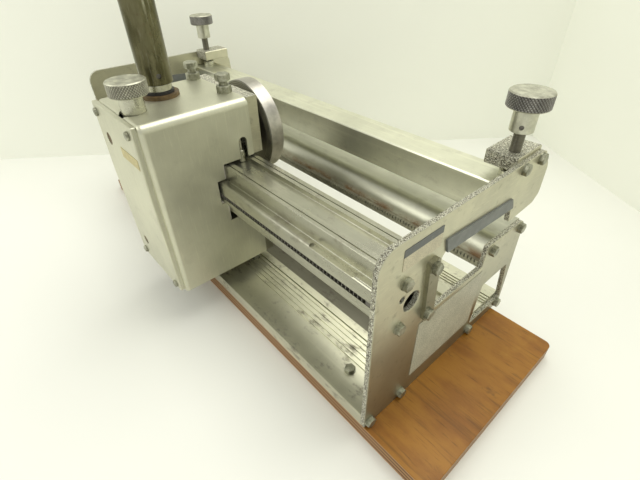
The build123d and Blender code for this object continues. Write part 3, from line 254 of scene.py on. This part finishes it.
def clamp_steel(name, thread_top):
    """Turned collar, with the thread below it coloured dark."""
    g = Graph(name)
    cloud = g.noise(90.0, (1, 1, 1), 5.0, 0.65)
    color = g.mix(g.ramp(cloud, 0.3, 0.7), (0.46, 0.455, 0.37), (0.66, 0.655, 0.54))
    thread = g.ramp(g.split()[2], thread_top - 0.0004, thread_top, 1.0, 0.0)
    color = g.mix(g.math("MULTIPLY", thread, 0.85), color, (0.11, 0.10, 0.075))
    return g.done(color, g.math("ADD", 0.24, g.math("MULTIPLY", cloud, 0.2)), 0.9)


def zinc_bolt(name):
    g = Graph(name)
    cloud = g.noise(130.0, (1, 1, 1), 5.0, 0.7)
    color = g.mix(g.ramp(cloud, 0.3, 0.72), (0.17, 0.17, 0.115), (0.48, 0.48, 0.385))
    spots = g.ramp(g.noise(420.0, (1, 1, 1), 4.0, 0.7), 0.60, 0.70)
    color = g.mix(g.math("MULTIPLY", spots, 0.5), color, (0.12, 0.09, 0.05))
    g.bump(g.noise(900.0, (1, 1, 1), 3.0, 0.6), 0.3, 0.00008)
    return g.done(color, g.math("ADD", 0.28, g.math("MULTIPLY", cloud, 0.22)), 0.85)


def plywood(name, top):
    """Varnished board: dark grain along X on the face, plies and end grain on the edges."""
    g = Graph(name)
    grain = g.noise(95.0, (0.045, 1, 1), 6.0, 0.72)
    streak = g.noise(30.0, (0.35, 1, 1), 5.0, 0.65, (0.1, 0.4, 0.0))
    pores = g.noise(430.0, (0.07, 1, 1), 3.0, 0.7)
    wear = g.noise(11.0, (1, 1, 1), 5.0, 0.65, (0.5, 0.1, 0.3))
    color = g.mix(g.ramp(streak, 0.34, 0.66), (0.225, 0.088, 0.012), (0.335, 0.150, 0.020))
    color = g.mix(g.math("MULTIPLY", g.ramp(grain, 0.54, 0.66), 0.6), color, (0.115, 0.048, 0.008))
    color = g.mix(g.math("MULTIPLY", g.ramp(pores, 0.58, 0.72), 0.45), color, (0.045, 0.018, 0.004))
    color = g.mix(g.math("MULTIPLY", g.ramp(wear, 0.56, 0.72), 0.35), color, (0.52, 0.30, 0.055))
    stain = g.ramp(g.noise(26.0, (0.5, 1, 1), 6.0, 0.75, (0.9, 0.2, 0.1)), 0.60, 0.72)
    color = g.mix(g.math("MULTIPLY", stain, 0.6), color, (0.075, 0.036, 0.012))
    edge = g.ramp(g.math("ABSOLUTE", g.normal()[2]), 0.4, 0.7, 1.0, 0.0)
    layer = g.math("SINE", g.math("MULTIPLY", g.split()[2], 2 * math.pi / (top / 3.5)))
    plies = g.mix(g.ramp(layer, -0.15, 0.35), (0.13, 0.060, 0.024), (0.42, 0.235, 0.095))
    color = g.mix(edge, color, plies)
    g.bump(g.math("ADD", grain, g.math("MULTIPLY", pores, 0.6)), 0.35, 0.0004)
    rough = g.math("ADD", 0.34, g.math("MULTIPLY", wear, 0.3))
    return g.done(color, rough, 0.0, Specular_IOR_Level=0.28, Coat_Weight=0.05, Coat_Roughness=0.2)


def plain(name, base, rough=0.5, grain=300.0, depth=0.0001, variation=0.25, **more):
    """Non-metal with soft mottling and a little texture."""
    g = Graph(name)
    cloud = g.noise(grain / 6, (1, 1, 1), 5.0, 0.6)
    color = g.mix(g.ramp(cloud, 0.3, 0.7), tuple(c * (1 - variation) for c in base), base)
    g.bump(g.noise(grain, (1, 1, 1), 4.0, 0.65), 0.4, depth)
    return g.done(color, g.math("ADD", rough, g.math("MULTIPLY", cloud, 0.12)), 0.0, **more)


def label_paper(name, base, band=None, band_color=(0.13, 0.14, 0.14), grain=0.3):
    """Blank label, rubbed and grubby; band is a darker header above that height."""
    g = Graph(name)
    cloud = g.noise(70.0, (1, 1, 1), 6.0, 0.7)
    rub = g.ramp(g.noise(160.0, (1, 1, 1), 5.0, 0.7), 0.58, 0.70)
    color = g.mix(g.ramp(cloud, 0.3, 0.7), tuple(c * 0.82 for c in base), base)
    if band is not None:
        header = g.ramp(g.split()[2], band - 0.0002, band + 0.0002)
        color = g.mix(header, color, band_color)
    color = g.mix(g.math("MULTIPLY", rub, 0.35), color, (0.42, 0.40, 0.30))
    faded = g.ramp(g.noise(1300.0, (1, 0.5, 1), 2.0, 0.5), 0.50, 0.60)
    color = g.mix(g.math("MULTIPLY", faded, grain), color, (0.20, 0.19, 0.14))
    return g.done(color, 0.5, 0.0, Specular_IOR_Level=0.3)


# ---------------------------------------------------------------- materials on the CAD nodes
def box_of(node):
    return corners(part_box(node))


RECESS_Y = (-0.044, 0.043)
RECESS_H = 0.006
BOARD_TOP = box_of("base_board")[1][2]
SUPPORT_TOP = box_of("belt_support")[1][2]
PLATE = metal("plate", (0.60, 0.58, 0.435), 0.36, (1, 0.06, 1), 900.0, 0.00003, (0.13, 0.12, 0.08), 0.30,
              0.86, True, foot=(0.05, 0.20, 0.55))
CAST = metal("inner_plates", (0.56, 0.55, 0.43), 0.42, (1, 0.06, 1), 900.0, 0.00003, dirt_amount=0.35, metallic=0.82)
COVER = metal("cover", (0.66, 0.655, 0.515), 0.40, (1, 1, 0.05), 700.0, 0.00002, dirt_amount=0.10,
              metallic=0.80, blotch=9.0)
MACHINED = metal("machined", (0.58, 0.575, 0.47), 0.26, (1, 1, 6), 600.0, 0.00004, dirt_amount=0.30, blotch=60.0)
COMB = metal("comb", (0.42, 0.41, 0.33), 0.42, (1, 1, 1), 700.0, 0.00006, (0.10, 0.09, 0.06), 0.6)
DARK = metal("dark_steel", (0.17, 0.16, 0.145), 0.38, (1, 1, 1), 700.0, 0.00006, (0.05, 0.045, 0.04), 0.6)
STRAP = metal("strap", (0.30, 0.29, 0.205), 0.42, (1, 1, 0.1), 500.0, 0.00005, (0.14, 0.12, 0.08), 0.5, blotch=50.0)
RAIL = rail_metal("rail", (0.44, 0.435, 0.345), 0.27, 0.45)
# The base's recessed floor gets painted shade from the band given last.
BASE = rail_metal("base", (0.66, 0.65, 0.51), 0.34, 0.70, recess_shade=(*RECESS_Y, BOARD_TOP + RECESS_H))
BAR = rail_metal("bar", (0.80, 0.80, 0.655), 0.33, 0.15)
SUPPORT = rail_metal("support", (0.55, 0.55, 0.45), 0.38, 0.15, (SUPPORT_TOP - 0.018, SUPPORT_TOP - 0.010))
BOLT = zinc_bolt("zinc_bolt")
TUBE = zinc_tube("tube")
RUBBER = plain("black_rubber", (0.028, 0.027, 0.026), 0.45)
TRIM = plain("edge_trim", (0.19, 0.20, 0.19), 0.5, 500.0, 0.00008)
FIBRE = plain("fibre", (0.15, 0.095, 0.035), 0.48, 700.0, 0.00012, 0.5)
NYLON = plain("nylon", (0.74, 0.71, 0.63), 0.45)
BRONZE = metal("bronze", (0.50, 0.33, 0.14), 0.35, dirt_amount=0.4)
GRIP = plain("grip", (0.030, 0.029, 0.028), 0.34, 900.0, 0.00006, Coat_Weight=0.15)
WOOD = plywood("plywood", BOARD_TOP)

upper_label = box_of("instruction_label_upper")
band = upper_label[0][2] + 0.66 * (upper_label[1][2] - upper_label[0][2])
LOOKS = {
    "base_board": WOOD, "base_extrusion": BASE, "front_rail": RAIL, "belt_support": SUPPORT, "clamp_bar": BAR,
    "end_plate_right": PLATE, "end_plate_left": PLATE, "clamp_blocks": PLATE, "rear_plate_upper": PLATE,
    "rear_plate_lower": PLATE, "spine_plate": CAST, "upper_shelf": CAST, "lower_shelf": CAST, "lift_plate": CAST,
    "upper_roller_block": CAST, "lower_roller_block": CAST, "head_cover": COVER, "front_cover": COVER,
    "drive_rack": DARK, "comb_strip": COMB, "drive_pinion": DARK, "set_screw_right": DARK, "set_screw_left": DARK,
    "crank_pin": DARK, "throat_straps": STRAP, "edge_trims": TRIM, "fibre_washer": FIBRE,
    "cover_plugs": FIBRE, "shaft_seal": RUBBER,
    "guide_blocks_upper": NYLON, "guide_blocks_lower": NYLON, "shaft_bush_upper": BRONZE, "shaft_bush_lower": BRONZE,
    "crank_tube": TUBE, "crank_arm": TUBE, "crank_grip": GRIP,
    "instruction_label_upper": label_paper("label_upper", (0.60, 0.55, 0.40), band),
    "instruction_label_lower": label_paper("label_lower", (0.50, 0.485, 0.385), grain=0.6),
    "head_label": label_paper("head_label", (0.62, 0.54, 0.27)),
    "clamp_knob_right": knurled("knurl_right", box_of("clamp_knob_right"), teeth=44),
    "clamp_knob_left": knurled("knurl_left", box_of("clamp_knob_left"), teeth=44),
    "adjust_knob": knurled("knurl_adjust", box_of("adjust_knob"), (0.50, 0.49, 0.40), 44),
}
for name in ("rail_bolts", "support_bolts", "base_bolts", "clamp_block_bolts", "deck_bolts", "front_cover_screws",
             "stop_bolts"):
    LOOKS[name] = BOLT
for name in ("clamp_screw_right", "clamp_screw_left", "swivel_pads", "guide_post", "lower_roller_axle",
             "upper_roller_axle", "adjust_screw", "drive_shaft", "grip_axle"):
    LOOKS[name] = MACHINED
COLLAR_H = 0.021
for side in ("right", "left"):
    LOOKS["clamp_screw_" + side] = clamp_steel("clamp_steel_" + side, box_of("clamp_knob_" + side)[0][2] - COLLAR_H)
WHEEL_STEEL = (0.55, 0.525, 0.47)
ROLLER_RING = 0.0102
LOWER_RING = 0.006
roller = box_of("upper_roller")
ROLLER_R = (roller[1][0] - roller[0][0]) / 2
LOOKS["upper_roller"] = turned_wheel("upper_roller", roller, WHEEL_STEEL, ROLLER_R - ROLLER_RING)
lower = box_of("lower_roller")
LOWER_R = (lower[1][0] - lower[0][0]) / 2
LOOKS["lower_roller"] = turned_wheel("lower_roller", lower, WHEEL_STEEL, LOWER_R - LOWER_RING)
for name, obj in NODES.items():
    for material_slot in obj.material_slots:
        material_slot.link = "OBJECT"
        material_slot.material = LOOKS[name]

# ---------------------------------------------------------------- studio
def plane(name, points, material):
    mesh = bpy.data.meshes.new(name)
    mesh.from_pydata(points, [], [tuple(range(len(points)))])
    obj = bpy.data.objects.new(name, mesh)
    bpy.context.scene.collection.objects.link(obj)
    mesh.materials.append(material)
    return obj


paper = bpy.data.materials.new("paper")
paper.use_nodes = True
paper.node_tree.nodes["Principled BSDF"].inputs["Base Color"].default_value = (0.80, 0.80, 0.755, 1.0)
paper.node_tree.nodes["Principled BSDF"].inputs["Roughness"].default_value = 0.75
wall = paper.copy()
wall.node_tree.nodes["Principled BSDF"].inputs["Base Color"].default_value = (0.93, 0.94, 0.86, 1.0)
# The walls hide nothing from behind.
see_through = wall.node_tree.nodes.new("ShaderNodeBsdfTransparent")
one_way = wall.node_tree.nodes.new("ShaderNodeMixShader")
facing = wall.node_tree.nodes.new("ShaderNodeNewGeometry")
wall.node_tree.links.new(facing.outputs["Backfacing"], one_way.inputs[0])
wall.node_tree.links.new(wall.node_tree.nodes["Principled BSDF"].outputs[0], one_way.inputs[1])
wall.node_tree.links.new(see_through.outputs[0], one_way.inputs[2])
wall.node_tree.links.new(one_way.outputs[0], wall.node_tree.nodes["Material Output"].inputs["Surface"])
plane("floor", [(-6, -6, 0), (6, -6, 0), (6, 6, 0), (-6, 6, 0)], paper)
WALL_LENGTH, WALL_HEIGHT = 3.0, 0.65
corner = Vector((0.075, 0.705, 0.0))
for name, along in (("wall_left", Vector((-0.756, -0.971, 0))), ("wall_right", Vector((0.269, -0.177, 0)))):
    far = corner + along.normalized() * WALL_LENGTH
    points = [corner[:], far[:], (far.x, far.y, WALL_HEIGHT), (corner.x, corner.y, WALL_HEIGHT)]
    outward = along.cross(Vector((0, 0, 1))).dot(corner) > 0
    plane(name, points[::-1] if outward else points, wall)

scene = bpy.context.scene
world = bpy.data.worlds.new("studio")
scene.world = world
world.use_nodes = True
world.node_tree.nodes["Background"].inputs["Color"].default_value = (1.0, 1.0, 0.93, 1.0)
world.node_tree.nodes["Background"].inputs["Strength"].default_value = 0.74


def area_light(name, place, aim, size, power, tint=(1.0, 1.0, 0.92)):
    data = bpy.data.lights.new(name, "AREA")
    data.shape = "RECTANGLE"
    data.size, data.size_y = size
    data.energy = power
    data.color = tint
    obj = bpy.data.objects.new(name, data)
    obj.location = place
    obj.rotation_euler = (Vector(aim) - Vector(place)).to_track_quat("-Z", "Y").to_euler()
    scene.collection.objects.link(obj)


area_light("over", (0.1, 0.5, 1.9), (0.0, 0.0, 0.1), (1.6, 1.2), 22.0)
area_light("left", (-0.7, -1.4, 1.4), (0.0, 0.0, 0.1), (1.0, 1.0), 9.0)

camera_data = bpy.data.cameras.new("camera")
camera_data.lens = 22.42
camera_data.sensor_width = 36.0
camera_data.clip_start = 0.01
camera = bpy.data.objects.new("camera", camera_data)
right = Vector((0.6606, 0.7505, -0.0190)).normalized()
back = Vector((0.6019, -0.5143, 0.6110)).normalized()
up = back.cross(right).normalized()
right = up.cross(back)
turn = Matrix((right, up, back)).transposed().to_4x4()
camera.matrix_world = Matrix.Translation((0.4269, -0.2773, 0.3982)) @ turn
scene.collection.objects.link(camera)
scene.camera = camera
scene.view_settings.view_transform = "Standard"
scene.view_settings.look = "None"
scene.view_settings.exposure = 0.0
